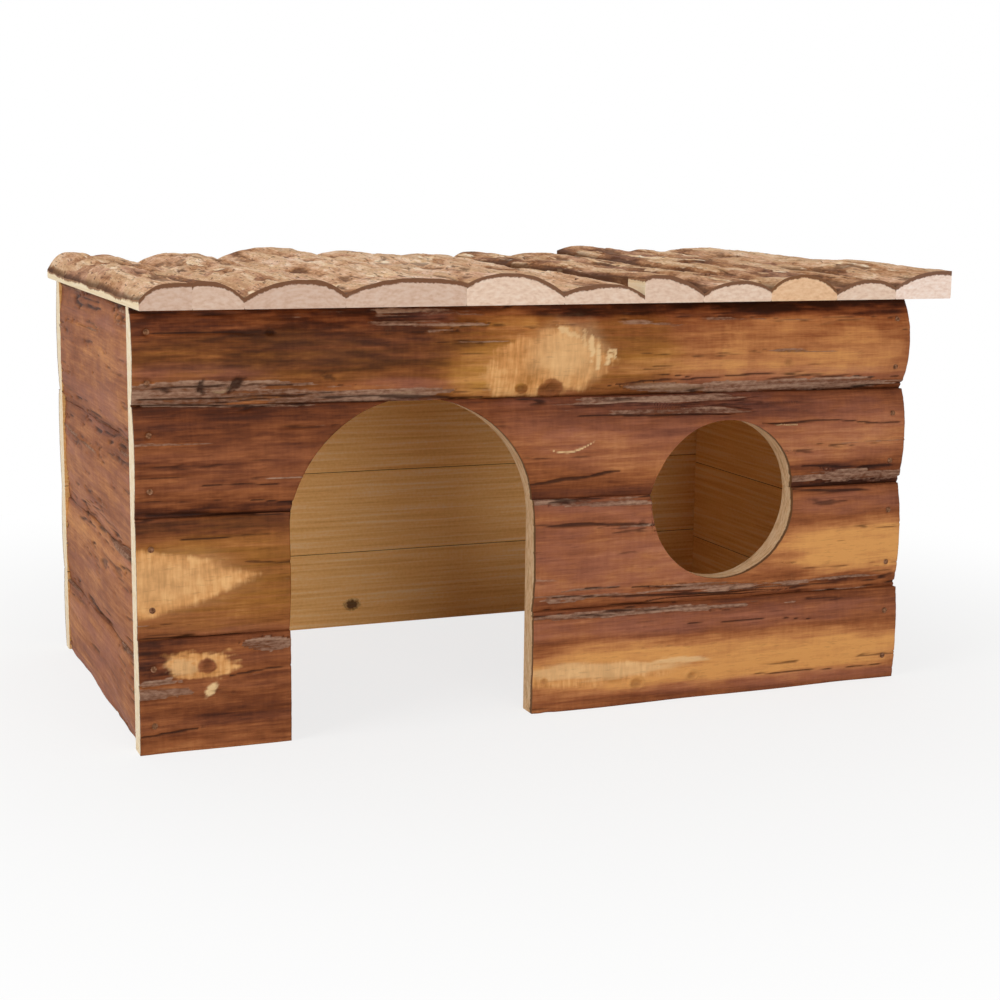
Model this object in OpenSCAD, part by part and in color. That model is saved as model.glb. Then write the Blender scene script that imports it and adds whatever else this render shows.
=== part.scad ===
// Natural rodent house: bark-on slabs nailed into a floorless box, under a flat roof of half-round slats.
// Millimetres, +Z up, doorway towards -Y. The origin is on the ground under the middle of the roof.

/* [Walls] */
// Width of the front and back walls, end to end
wall_w = 282.5; // [250:0.5:330]
// Depth from the face of the front wall to the face of the back wall
wall_d = 152; // [130:1:200]
// Height of the walls
wall_h = 142.5; // [136:0.5:170]
// Thickness of a wall board at its crown
board_t = 9.5; // [8.5:0.5:13]

/* [Front boards] */
// Height of the lowest seam of the front wall, halfway along
front_seam_1 = 36; // [30:0.5:44]
// Height of the middle seam of the front wall, halfway along
front_seam_2 = 75; // [66:0.5:84]
// Height of the top seam of the front wall, halfway along, which closes the top of the doorway
front_seam_3 = 110; // [106:0.5:116]
// Fall of the front seams from the left end of the wall to the right end
front_seam_fall = 3; // [0:0.5:6]

/* [Side and back boards] */
// Height of the lowest seam of the side walls
side_seam_1 = 28; // [24:0.5:36]
// Height of the middle seam of the side walls
side_seam_2 = 61; // [52:0.5:70]
// Height of the top seam of the side walls
side_seam_3 = 98; // [88:0.5:108]
// Height of the lowest seam of the back wall
back_seam_1 = 31; // [26:0.5:38]
// Height of the middle seam of the back wall
back_seam_2 = 64.5; // [56:0.5:74]
// Height of the top seam of the back wall
back_seam_3 = 101; // [92:0.5:110]

/* [Doorway] */
// Distance from the left end of the front wall to the doorway
door_x = 49.5; // [36:0.5:60]
// Width of the doorway, which its arch spans
door_w = 86; // [76:1:100]
// Height of the point from which the arch is struck
door_spring = 68.5; // [62:0.5:76]

/* [Window] */
// Distance from the left end of the front wall to the middle of the window
window_x = 208.5; // [190:0.5:225]
// Height of the middle of the window
window_z = 71.5; // [62:0.5:78]
// Diameter of the window
window_d = 57; // [44:1:64]

/* [Roof] */
// Overhang of the roof past the front wall
eave_front = 14.5; // [6:0.5:24]
// Overhang of the roof past the back wall
eave_back = 14.5; // [6:0.5:24]
// Overhang of the roof past the left wall
eave_left = 0.5; // [0.5:0.5:12]
// Overhang of the roof past the right wall
eave_right = 6; // [0.5:0.5:16]
// Gap between neighbouring slats
slat_gap = 0.8; // [0.2:0.1:2]

/* [Bark] */
// Length of the slow waves along a slab
wave_length = 105; // [60:5:200]
// Depth of the waves in the crown of a slab
wave_depth = 0.9; // [0:0.1:1.5]
// Depth of the waves in the edges of a slab
edge_wave = 0.7; // [0:0.1:1]
// Distance that the crown strays to either side of its line
crown_stray = 2; // [0:0.5:3]
// Exponent of the dome: 2 is a round back, more is flatter with steeper edges
dome_power = 2.3; // [1.8:0.1:4]
// Height of the ridges in the roof's bark, from furrow to crest
ridge_height = 1.8; // [0:0.1:2.4]
// Distance between the ridges across a slat
ridge_pitch = 6.5; // [5:0.5:10]
// Length along a slat in which a ridge sways once to and fro
ridge_length = 60; // [40:2:100]
// Distance that a ridge sways to either side of its line
ridge_sway = 2.5; // [0:0.5:4]

/* [Nails] */
// Diameter of a nail's shank
nail_d = 1.4; // [1:0.1:1.8]
// Length of a nail
nail_length = 28; // [20:1:34]
// Diameter of a nail's head
nail_head_d = 2; // [2:0.1:3.2]
// Thickness of a nail's head
nail_head_t = 0.8; // [0.5:0.1:1.2]
// Depth of a nail's head under the bark
nail_sink = 0.4; // [0:0.1:1]
// Room round a nail in its hole
nail_room = 0.05; // [0.02:0.01:0.1]
// Distance of the roof nails from the inner face of the walls
nail_line = 2; // [1.4:0.1:2.4]

/* [Smoothness] */
// Spacing of the cross sections along a slab
section_step = 16; // [8:1:40]
// Number of facets across a slab
across_steps = 10; // [6:1:14]
// Number of facets across one ridge of a slat
ridge_facets = 4; // [3:1:6]
// Number of cross sections in one sway of a ridge
ridge_sections = 6; // [4:1:10]

/* [Hidden] */
$fn = 48;
roof_w = wall_w + eave_left + eave_right;
roof_d = wall_d + eave_front + eave_back;
left = eave_left - roof_w / 2;
right = left + wall_w;
front = eave_front - roof_d / 2;
back = front + wall_d;
side_length = wall_d - 2 * board_t;
door_r = door_w / 2;
door_mid = door_x + door_r;
past = 1;
BARK = "#8a5638";
ROOF_BARK = "#b8917a";
STEEL = "#8d8d88";

// Phases of the waves, counted in slabs, so that no two slabs are alike
front_phase = 0;
left_phase = 4;
right_phase = 8;
back_phase = 12;
slat_phase = 20;
phase_turn = 137.5;
// The waves of the edges are shorter than those of the crown, by this factor
edge_rate = 1.7;
// A second set of ridges is longer and wider than the first, by this factor
ridge_ratio = 1.6;
// The crown keeps this share of the width from either edge
crown_margin = 0.1;
// Where the nails sit across a board, and the outer slats' nails along the side walls
nail_shares = [0.25, 0.75];

// How far each board's long edges fall back from its crown, from the ground up
front_wane = [1, 2.5, 3.7, 5.7];
side_wane = [2, 2.5, 3, 3];
back_wane = [2.5, 3, 2, 4.5];
// Where the crown lies across each board, from its lower edge
board_peak = [0.5, 0.46, 0.55, 0.5];

// The slats from left to right: width, crown, left edge and right edge, each at the back and at the front,
// and where the crown lies across the slat. The widths are fitted to the roof.
SLATS = [
    [16, [10, 9], [3.2, 3.2], [8.2, 8.2], 0.62],
    [16, [9.5, 8.8], [8.2, 8.2], [4, 4], 0.25],
    [32, [10.2, 9.6], [4, 4], [5.5, 4.4], 0.55],
    [40, [11.6, 9.4], [5.5, 4.4], [7.6, 7.6], 0.62],
    [34, [11, 10.4], [7.6, 7.6], [6, 4.2], 0.4],
    [29, [9, 7.4], [6, 4.2], [7.5, 2.6], 0.5],
    [22, [10, 9.4], [7, 8.4], [6, 3.6], 0.28],
    [26, [9.8, 7.6], [6, 3.6], [6.5, 4.3], 0.5],
    [26, [12, 9.6], [10, 4.3], [7, 3.4], 0.5],
    [24, [11, 7], [6.5, 3.4], [7, 4.7], 0.6],
    [23, [11.4, 10.6], [9, 4.7], [10, 10], 0.75]
];
slat_count = len(SLATS);
slat_sum = slat_span(slat_count);
function slat_span(count) = count == 0 ? 0 : SLATS[count - 1][0] + slat_span(count - 1);
// Line between slat i and the one before it, and the edges of slat i
function slat_line(i) = roof_w * slat_span(i) / slat_sum - roof_w / 2;
function slat_start(i) = slat_line(i) + (i == 0 ? 0 : slat_gap / 2);
function slat_end(i) = slat_line(i + 1) - (i == slat_count - 1 ? 0 : slat_gap / 2);

// A slab is [crown, low edge, high edge, place of the crown, wave phase, height of its ridges]; the first
// three are thicknesses at the slab's start and at its end
function wall_slab(wane, i, phase) =
    let (edge = board_t - wane[i])
    [[board_t, board_t], [edge, edge], [edge, edge], board_peak[i], phase + i, 0];
function slat_slab(i) = [SLATS[i][1], SLATS[i][2], SLATS[i][3], SLATS[i][4], slat_phase + i, ridge_height];

function mix(a, b, share) = a + (b - a) * share;
function wave(s, phase) = sin(360 * s / wave_length + phase_turn * phase);
function between(low, value, high) = min(high, max(low, value));
// Place of the crown across a slab of width w, at distance s along it
function crown_at(slab, s, w) =
    between(crown_margin * w, slab[3] * w + crown_stray * wave(s, slab[4] + 0.4), (1 - crown_margin) * w);
// Thickness at the crown, at distance s along a slab of the given length
function crown_t(slab, s, length) =
    mix(slab[0][0], slab[0][1], s / length) - wave_depth * (1 + wave(s, slab[4])) / 2;
// Ridges of old bark: two sets that sway against each other, so that they swell, die out and run together
function ridge(slab, s, y) =
    let (
        turn = phase_turn * slab[4],
        first = y + ridge_sway * sin(360 * s / ridge_length + turn),
        second = y - ridge_sway * sin(360 * s / (ridge_ratio * ridge_length) + turn)
    )
    slab[5] / 4 * (sin(360 * first / ridge_pitch + turn) + sin(360 * second / (ridge_ratio * ridge_pitch)));
// Thickness of a slab at distance s along it and y across it: from the crown it falls to the edge as a power,
// and its ridges fade out towards the edge
function slab_t(slab, s, length, y, w) =
    let (
        peak = crown_at(slab, s, w),
        crown = crown_t(slab, s, length),
        low = y < peak,
        share = low ? (peak - y) / peak : (y - peak) / (w - peak),
        ripple = (1 + wave(edge_rate * s, slab[4] + (low ? 0.2 : 0.7))) / 2,
        ends = low ? slab[1] : slab[2],
        edge = min(crown, mix(ends[0], ends[1], s / length) - edge_wave * ripple)
    )
    crown - (crown - edge) * pow(share, dome_power) + ridge(slab, s, y) * (1 - share * share);

// Seams of a wall as [height at its start, height at its end], from the ground to the wall's top
function front_seam(k) =
    k == 0 ? [0, 0]
    : k == 4 ? [wall_h, wall_h]
    : let (z = [front_seam_1, front_seam_2, front_seam_3][k - 1])
        [z + front_seam_fall / 2, z - front_seam_fall / 2];
function side_seam(k) = let (z = [0, side_seam_1, side_seam_2, side_seam_3, wall_h][k]) [z, z];
function back_seam(k) = let (z = [0, back_seam_1, back_seam_2, back_seam_3, wall_h][k]) [z, z];

// A slab of the given length between two straight edges, lying on its sawn face with its bark up: closed
// sections, each a sawn base under a dome, lofted along the length.
// low and high are the edges as [y at the start, y at the end]; from and to are the ends that are kept.
module bark_slab(slab, length, low, high, from, to) {
    is_ridged = slab[5] > 0;
    across = is_ridged ? ceil(ridge_facets * (high[0] - low[0]) / ridge_pitch) : across_steps;
    steps = ceil((to - from) / (is_ridged ? ridge_length / ridge_sections : section_step));
    ring = across + 3;
    points = [
        for (i = [0:steps])
            let (
                s = mix(from, to, i / steps),
                y0 = mix(low[0], low[1], s / length),
                w = mix(high[0], high[1], s / length) - y0
            )
            each concat(
                [[s, y0, 0]],
                [
                    for (j = [0:across])
                        let (y = w * j / across) [s, y0 + y, slab_t(slab, s, length, y, w)]
                ],
                [[s, y0 + w, 0]]
            )
    ];
    sides = [
        for (i = [0:steps - 1], j = [0:ring - 1])
            let (a = i * ring + j, b = i * ring + (j + 1) % ring)
                each [[a, b, b + ring], [a, b + ring, a + ring]]
    ];
    start = [for (j = [ring - 1:-1:0]) j];
    end = [for (j = [0:ring - 1]) steps * ring + j];
    polyhedron(points, concat([start], sides, [end]));
}

// Nails through the board ends of a wall, as [distance along the wall, height, depth of the head's face]
function end_nails(seam, wane, phase) = [
    for (i = [0:3], s = [board_t / 2, wall_w - board_t / 2], share = nail_shares)
        let (
            y0 = mix(seam(i)[0], seam(i)[1], s / wall_w),
            w = mix(seam(i + 1)[0], seam(i + 1)[1], s / wall_w) - y0,
            thick = slab_t(wall_slab(wane, i, phase), s, wall_w, share * w, w)
        )
        [s, y0 + share * w, board_t - thick + nail_sink]
];
// Nails are [middle of the head's face, rotation that drives the nail]
FRONT_NAILS = [
    for (n = end_nails(function (k) front_seam(k), front_wane, front_phase))
        [[left + n[0], front + n[2], n[1]], [-90, 0, 0]]
];
BACK_NAILS = [
    for (n = end_nails(function (k) back_seam(k), back_wane, back_phase))
        [[right - n[0], back - n[2], n[1]], [90, 0, 0]]
];
// The outer slats are nailed to the side walls, the others to the front and back walls
ROOF_NAILS = [
    for (i = [0:slat_count - 1], first = [true, false])
        let (
            x0 = slat_start(i),
            w = slat_end(i) - x0,
            x = i == 0 ? left + board_t - nail_line
                : i == slat_count - 1 ? right - board_t + nail_line
                : x0 + w / 2,
            inset = i == 0 || i == slat_count - 1 ? nail_shares[0] * wall_d : board_t - nail_line,
            y = first ? front + inset : back - inset,
            thick = slab_t(slat_slab(i), roof_d / 2 - y, roof_d, x - x0, w)
        )
        [[x, y, wall_h + thick - nail_sink], [180, 0, 0]]
];

// One nail, its head at the origin and its shank along +Z
module nail() {
    cylinder(d = nail_head_d, h = nail_head_t);
    cylinder(d = nail_d, h = nail_length);
}

// The hole of one nail, with the head's pocket open to the bark
module nail_hole() {
    translate([0, 0, -board_t]) cylinder(d = nail_head_d + 2 * nail_room, h = board_t + nail_head_t);
    cylinder(d = nail_d + 2 * nail_room, h = nail_length + nail_room);
}

module at_nails(nails) {
    for (n = nails) translate(n[0]) rotate(n[1]) children();
}

// The doorway through the front wall: straight jambs under a half-round arch
module doorway() {
    translate([left + door_mid, front - past, 0]) rotate([-90, 0, 0]) {
        translate([0, -door_spring, 0]) cylinder(r = door_r, h = board_t + 2 * past, $fn = 96);
        translate([-door_r, -door_spring, 0]) cube([door_w, door_spring + past, board_t + 2 * past]);
    }
}

// The round window through the front wall
module window_hole() {
    translate([left + window_x, front - past, window_z]) rotate([-90, 0, 0])
        cylinder(d = window_d, h = board_t + 2 * past, $fn = 96);
}

// The stretch of front board i between two distances from the left end of the wall
module front_board(i, from, to) {
    translate([left, front + board_t, 0]) rotate([90, 0, 0])
        bark_slab(wall_slab(front_wane, i, front_phase), wall_w, front_seam(i), front_seam(i + 1), from, to);
}

module front_top_board() {
    color(BARK) difference() {
        front_board(3, 0, wall_w);
        at_nails(FRONT_NAILS) nail_hole();
        at_nails(ROOF_NAILS) nail_hole();
    }
}

module front_left_piece(i) {
    color(BARK) difference() {
        front_board(i, 0, door_mid);
        doorway();
        at_nails(FRONT_NAILS) nail_hole();
    }
}

module front_right_piece(i) {
    color(BARK) difference() {
        front_board(i, door_mid, wall_w);
        doorway();
        window_hole();
        at_nails(FRONT_NAILS) nail_hole();
    }
}

module back_board(i) {
    color(BARK) difference() {
        translate([right, back - board_t, 0]) rotate([90, 0, 180])
            bark_slab(wall_slab(back_wane, i, back_phase), wall_w, back_seam(i), back_seam(i + 1), 0, wall_w);
        at_nails(BACK_NAILS) nail_hole();
        at_nails(ROOF_NAILS) nail_hole();
    }
}

module side_slab(i, phase) {
    slab = wall_slab(side_wane, i, phase);
    bark_slab(slab, side_length, side_seam(i), side_seam(i + 1), 0, side_length);
}

module left_board(i) {
    color(BARK) difference() {
        translate([left + board_t, back - board_t, 0]) rotate([90, 0, -90])
            side_slab(i, left_phase);
        at_nails(FRONT_NAILS) nail_hole();
        at_nails(BACK_NAILS) nail_hole();
        at_nails(ROOF_NAILS) nail_hole();
    }
}

module right_board(i) {
    color(BARK) difference() {
        translate([right - board_t, front + board_t, 0]) rotate([90, 0, 90])
            side_slab(i, right_phase);
        at_nails(FRONT_NAILS) nail_hole();
        at_nails(BACK_NAILS) nail_hole();
        at_nails(ROOF_NAILS) nail_hole();
    }
}

module roof_slat(i) {
    color(ROOF_BARK) difference() {
        translate([slat_start(i), roof_d / 2, wall_h]) rotate([0, 0, -90])
            bark_slab(slat_slab(i), roof_d, [0, 0], [1, 1] * (slat_end(i) - slat_start(i)), 0, roof_d);
        at_nails(ROOF_NAILS) nail_hole();
    }
}

module front_nails() { color(STEEL) at_nails(FRONT_NAILS) nail(); }
module back_nails() { color(STEEL) at_nails(BACK_NAILS) nail(); }
module roof_nails() { color(STEEL) at_nails(ROOF_NAILS) nail(); }

ROWS = ["bottom", "middle", "upper", "top"];

for (i = [0:2]) {
    front_left_piece(i);
    front_right_piece(i);
}
front_top_board();
for (i = [0:3]) {
    left_board(i);
    right_board(i);
    back_board(i);
}
for (i = [0:slat_count - 1]) {
    roof_slat(i);
}
front_nails();
back_nails();
roof_nails();
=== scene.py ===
# %% [markdown]
# # A rodent house of bark-on slabs
#
# The real house is nailed up from the outer cuts of small logs: each board is flat and sawn on the inside
# and keeps its bark on the outside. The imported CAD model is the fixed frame, so this lesson loads it first
# and builds every piece where its node lies. All sizes below are millimetres and turn into metres at the
# very end.

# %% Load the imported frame
import math
import bpy
import numpy as np
from mathutils import Matrix, Vector
from types import SimpleNamespace


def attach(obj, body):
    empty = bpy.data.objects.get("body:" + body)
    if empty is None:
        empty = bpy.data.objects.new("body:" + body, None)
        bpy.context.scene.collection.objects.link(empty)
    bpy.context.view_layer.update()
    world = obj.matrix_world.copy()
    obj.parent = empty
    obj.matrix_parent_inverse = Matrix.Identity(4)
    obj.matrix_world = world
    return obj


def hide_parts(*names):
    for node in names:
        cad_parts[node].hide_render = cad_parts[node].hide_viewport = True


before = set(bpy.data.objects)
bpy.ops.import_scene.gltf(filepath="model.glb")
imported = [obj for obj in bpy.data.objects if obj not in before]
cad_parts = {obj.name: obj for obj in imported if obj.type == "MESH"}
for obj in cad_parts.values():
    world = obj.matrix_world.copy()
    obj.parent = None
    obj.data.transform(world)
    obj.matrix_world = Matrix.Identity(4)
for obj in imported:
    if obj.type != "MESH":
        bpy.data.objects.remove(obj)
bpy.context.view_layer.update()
MM = 0.001


# %% [markdown]
# ## Noise that repeats
#
# Bark is all irregular ridges, so every slab needs noise. Blender's texture nodes only colour a surface,
# and here the ridges have to be real geometry, so the noise is worked out with numpy: random values on a
# whole-number lattice, eased from one to the next. The lattice values come from the coordinates themselves,
# so each run gives the same wood.

# %% Noise helpers
WORD = 0xFFFFFFFF
MIXERS = (374761393, 668265263, 1442695041, 1274126177)
OCTAVE_SHIFT = (17.3, 9.1)
OCTAVE_SEED = 31


def lattice(ix, iy, seed):
    """A repeatable value from 0 to 1 for each lattice point: its coordinates, mixed and cut to 32 bits."""
    bits = (ix * MIXERS[0] + iy * MIXERS[1] + seed * MIXERS[2]) & WORD
    bits = ((bits ^ (bits >> 13)) * MIXERS[3]) & WORD
    return (bits ^ (bits >> 16)) / WORD


def noise(u, v, seed):
    """Smooth noise from 0 to 1: the four lattice values round a point, weighted by 3t2 - 2t3 on u and v."""
    iu = np.floor(u).astype(np.int64)
    iv = np.floor(v).astype(np.int64)
    fu = u - iu
    fv = v - iv
    fu = fu * fu * (3 - 2 * fu)
    fv = fv * fv * (3 - 2 * fv)
    low = lattice(iu, iv, seed) * (1 - fu) + lattice(iu + 1, iv, seed) * fu
    high = lattice(iu, iv + 1, seed) * (1 - fu) + lattice(iu + 1, iv + 1, seed) * fu
    return low * (1 - fv) + high * fv


def fractal(s, y, along, across, seed, octaves=4):
    """Noise from -0.5 to 0.5 with features along x across mm: octaves, each half as big and as strong."""
    total = np.zeros(np.shape(s))
    weight = 0.0
    for k in range(octaves):
        share = 0.5 ** k
        u = s / (along * share) + OCTAVE_SHIFT[0] * k
        v = y / (across * share) + OCTAVE_SHIFT[1] * k
        total += share * (noise(u, v, seed + OCTAVE_SEED * k) - 0.5)
        weight += share
    return total / weight


def noise_of(s, y, seed):
    """A slab's own noise, read at s and y, as a function of (mm along, mm across, number, octaves)."""
    return lambda along, across, k, octaves=4: fractal(s, y, along, across, seed + k, octaves)


def step_up(low, high, value):
    """0 below low, 1 above high, and 3t2 - 2t3 between; low may be the greater one, which turns it round."""
    t = np.clip((value - low) / (high - low), 0, 1)
    return t * t * (3 - 2 * t)


test_s, test_y = np.meshgrid(np.arange(0, 200, 1.0), np.arange(0, 40, 1.0))
print("noise spread:", np.round(np.percentile(fractal(test_s, test_y, 40, 6, 1), [1, 50, 99]), 2))

# %% [markdown]
# ## One formula for every slab
#
# A log's outer cut is a flat sawn face under a dome. The CAD source gives the dome as a formula: from the
# crown the thickness falls to each edge as a power, slow waves run along the length, and the roof's old
# bark has ridges. The same formula is used here, so that the finished slab sits where its solid does. Wear
# changes it a little: the edges are fuller at the start of some boards, and the ridges are lower, most of
# all at the ends. Finer relief is added on top.

# %% The dome of a slab
BOARD_T = 9.5
WAVE_LENGTH = 105.0
WAVE_DEPTH = 0.9
EDGE_WAVE = 0.7
CROWN_STRAY = 2.0
DOME_POWER = 2.3
RIDGE_HEIGHT = 1.8
RIDGE_PITCH = 6.5
RIDGE_LENGTH = 60.0
RIDGE_SWAY = 2.5
RIDGE_RATIO = 1.6
RIDGE_LEFT = 0.6
END_WEAR = 0.5
END_REACH = 12.0
PHASE_TURN = 137.5


def sine(degrees):
    return np.sin(np.radians(degrees))


def wave(s, phase):
    """A sine of one turn per wave length along s, started 137.5 degrees further on for each phase."""
    return sine(360 * s / WAVE_LENGTH + PHASE_TURN * phase)


def ridges(slab, s, y, worn=True):
    """Two sets of ridges along s: sines of y that sway against each other; wear lowers them, most at ends."""
    turn = PHASE_TURN * slab.phase
    left = slab.ridge
    if worn:
        left = left * (RIDGE_LEFT - END_WEAR * np.exp(-np.minimum(s, slab.length - s) / END_REACH))
    first = y + RIDGE_SWAY * sine(360 * s / RIDGE_LENGTH + turn)
    second = y - RIDGE_SWAY * sine(360 * s / (RIDGE_RATIO * RIDGE_LENGTH) + turn)
    waves = sine(360 * first / RIDGE_PITCH + turn) + sine(360 * second / (RIDGE_RATIO * RIDGE_PITCH))
    return left / 4 * waves


def thickness(slab, s, y, w, worn=True):
    """Crown - (crown - edge) x share ^ power, plus ridges; share is 0 at the crown and 1 at the edge.

    As worn, some edges are fuller at the start and the ridges lower; else it is the solid's own dome.
    """
    along = s / slab.length
    peak = np.clip(slab.peak * w + CROWN_STRAY * wave(s, slab.phase + 0.4), 0.1 * w, 0.9 * w)
    crown = slab.crown[0] + (slab.crown[1] - slab.crown[0]) * along
    crown = crown - WAVE_DEPTH * (1 + wave(s, slab.phase)) / 2
    is_low = y < peak
    share = np.clip(np.where(is_low, (peak - y) / peak, (y - peak) / (w - peak)), 0, 1)
    ripple = (1 + wave(1.7 * s, slab.phase + np.where(is_low, 0.2, 0.7))) / 2
    low, high = (ends[0] + (ends[1] - ends[0]) * along for ends in (slab.low, slab.high))
    fuller = slab.fill * (1 - along) if worn else 0
    edge = np.minimum(crown, np.where(is_low, low, high) - EDGE_WAVE * ripple + fuller)
    return crown - (crown - edge) * share ** DOME_POWER + ridges(slab, s, y, worn) * (1 - share * share)


# %% [markdown]
# ## Where each slab lies
#
# Every slab is made lying on its sawn face: s runs along the grain, y across it and t up through the bark.
# Four walls and a roof then only need an origin and three directions each. This is simpler than turning
# objects, and it leaves every finished object at the origin, as the CAD nodes are.

# %% Walls and roof as frames
LEFT = -144.0
RIGHT = 138.5
FRONT = -76.0
BACK = 76.0
WALL_W = RIGHT - LEFT
WALL_H = 142.5
ROOF_W = 289.0
ROOF_D = 181.0
SIDE_L = BACK - FRONT - 2 * BOARD_T

PLACES = {
    "front": [(LEFT, FRONT + BOARD_T, 0), (1, 0, 0), (0, 0, 1), (0, -1, 0)],
    "back": [(RIGHT, BACK - BOARD_T, 0), (-1, 0, 0), (0, 0, 1), (0, 1, 0)],
    "left": [(LEFT + BOARD_T, BACK - BOARD_T, 0), (0, -1, 0), (0, 0, 1), (-1, 0, 0)],
    "right": [(RIGHT - BOARD_T, FRONT + BOARD_T, 0), (0, 1, 0), (0, 0, 1), (1, 0, 0)],
    "roof": [(-ROOF_W / 2, ROOF_D / 2, WALL_H), (0, -1, 0), (1, 0, 0), (0, 0, 1)],
}
ROWS = ["bottom", "middle", "upper", "top"]
SEAMS = {
    "front": [0, 36, 75, 110, WALL_H],
    "back": [0, 31, 64.5, 101, WALL_H],
    "left": [0, 28, 61, 98, WALL_H],
    "right": [0, 28, 61, 98, WALL_H],
}
# How much thinner each row's edges are than its crown, and the share of that which wear fills at the start
WANES = {
    "front": [1, 2.5, 3.7, 5.7],
    "back": [2.5, 3, 2, 4.5],
    "left": [2, 2.5, 3, 3],
    "right": [2, 2.5, 3, 3],
}
FILLS = {"front": 0.4, "left": 0.6, "right": 0.0, "back": 0.0}
PEAKS = [0.5, 0.46, 0.55, 0.5]
PHASES = {"front": 0, "left": 4, "right": 8, "back": 12, "roof": 20}
FRONT_FALL = 3.0


def seam(wall, k, s):
    """Height of seam k of a wall at s: level, but the front's inner seams fall 3 mm from left to right."""
    sloped = FRONT_FALL if wall == "front" and 0 < k < 4 else 0
    return SEAMS[wall][k] + sloped * (0.5 - np.asarray(s, float) / WALL_W)


def wall_slab(wall, i):
    length = SIDE_L if wall in ("left", "right") else WALL_W
    edge = BOARD_T - WANES[wall][i]
    return SimpleNamespace(
        wall=wall, row=i, length=length, crown=(BOARD_T, BOARD_T), low=(edge, edge), high=(edge, edge),
        peak=PEAKS[i], phase=PHASES[wall] + i, ridge=0.0, fill=FILLS[wall] * WANES[wall][i], tone=0.5,
    )


# Slats: width, crown, left edge and right edge (each at the back and front), place of the crown, tone of the
# wood and age of the bark
SLATS = [
    (16, (10, 9), (3.2, 3.2), (8.2, 8.2), 0.62, 0.0, 0.38),
    (16, (9.5, 8.8), (8.2, 8.2), (4, 4), 0.25, 0.1, 0.38),
    (32, (10.2, 9.6), (4, 4), (5.5, 4.4), 0.55, 0.0, 0.36),
    (40, (11.6, 9.4), (5.5, 4.4), (7.6, 7.6), 0.62, 0.05, 0.33),
    (34, (11, 10.4), (7.6, 7.6), (6, 4.2), 0.4, 0.45, 0.33),
    (29, (9, 7.4), (6, 4.2), (7.5, 2.6), 0.5, 0.35, 0.36),
    (22, (10, 9.4), (7, 8.4), (6, 3.6), 0.28, 0.3, 0.54),
    (26, (9.8, 7.6), (6, 3.6), (6.5, 4.3), 0.5, 0.4, 0.64),
    (26, (12, 9.6), (10, 4.3), (7, 3.4), 0.5, 1.0, 0.62),
    (24, (11, 7), (6.5, 3.4), (7, 4.7), 0.6, 0.4, 0.55),
    (23, (11.4, 10.6), (9, 4.7), (10, 10), 0.75, 0.75, 0.42),
]
slat_widths = [row[0] for row in SLATS]
slat_lines = ROOF_W * np.concatenate([[0], np.cumsum(slat_widths)]) / sum(slat_widths)
slat_starts = slat_lines[:-1]
slat_ends = slat_lines[1:]


def slat_slab(i):
    crown, low, high, peak, tone, age_and_shade = SLATS[i][1:]
    return SimpleNamespace(
        wall="roof", row=i, length=ROOF_D, crown=crown, low=low, high=high,
        peak=peak, phase=PHASES["roof"] + i, ridge=RIDGE_HEIGHT, fill=0.0, tone=tone, age_and_shade=age_and_shade,
    )


print("slats start at", np.round(slat_starts - ROOF_W / 2, 1))
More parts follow.
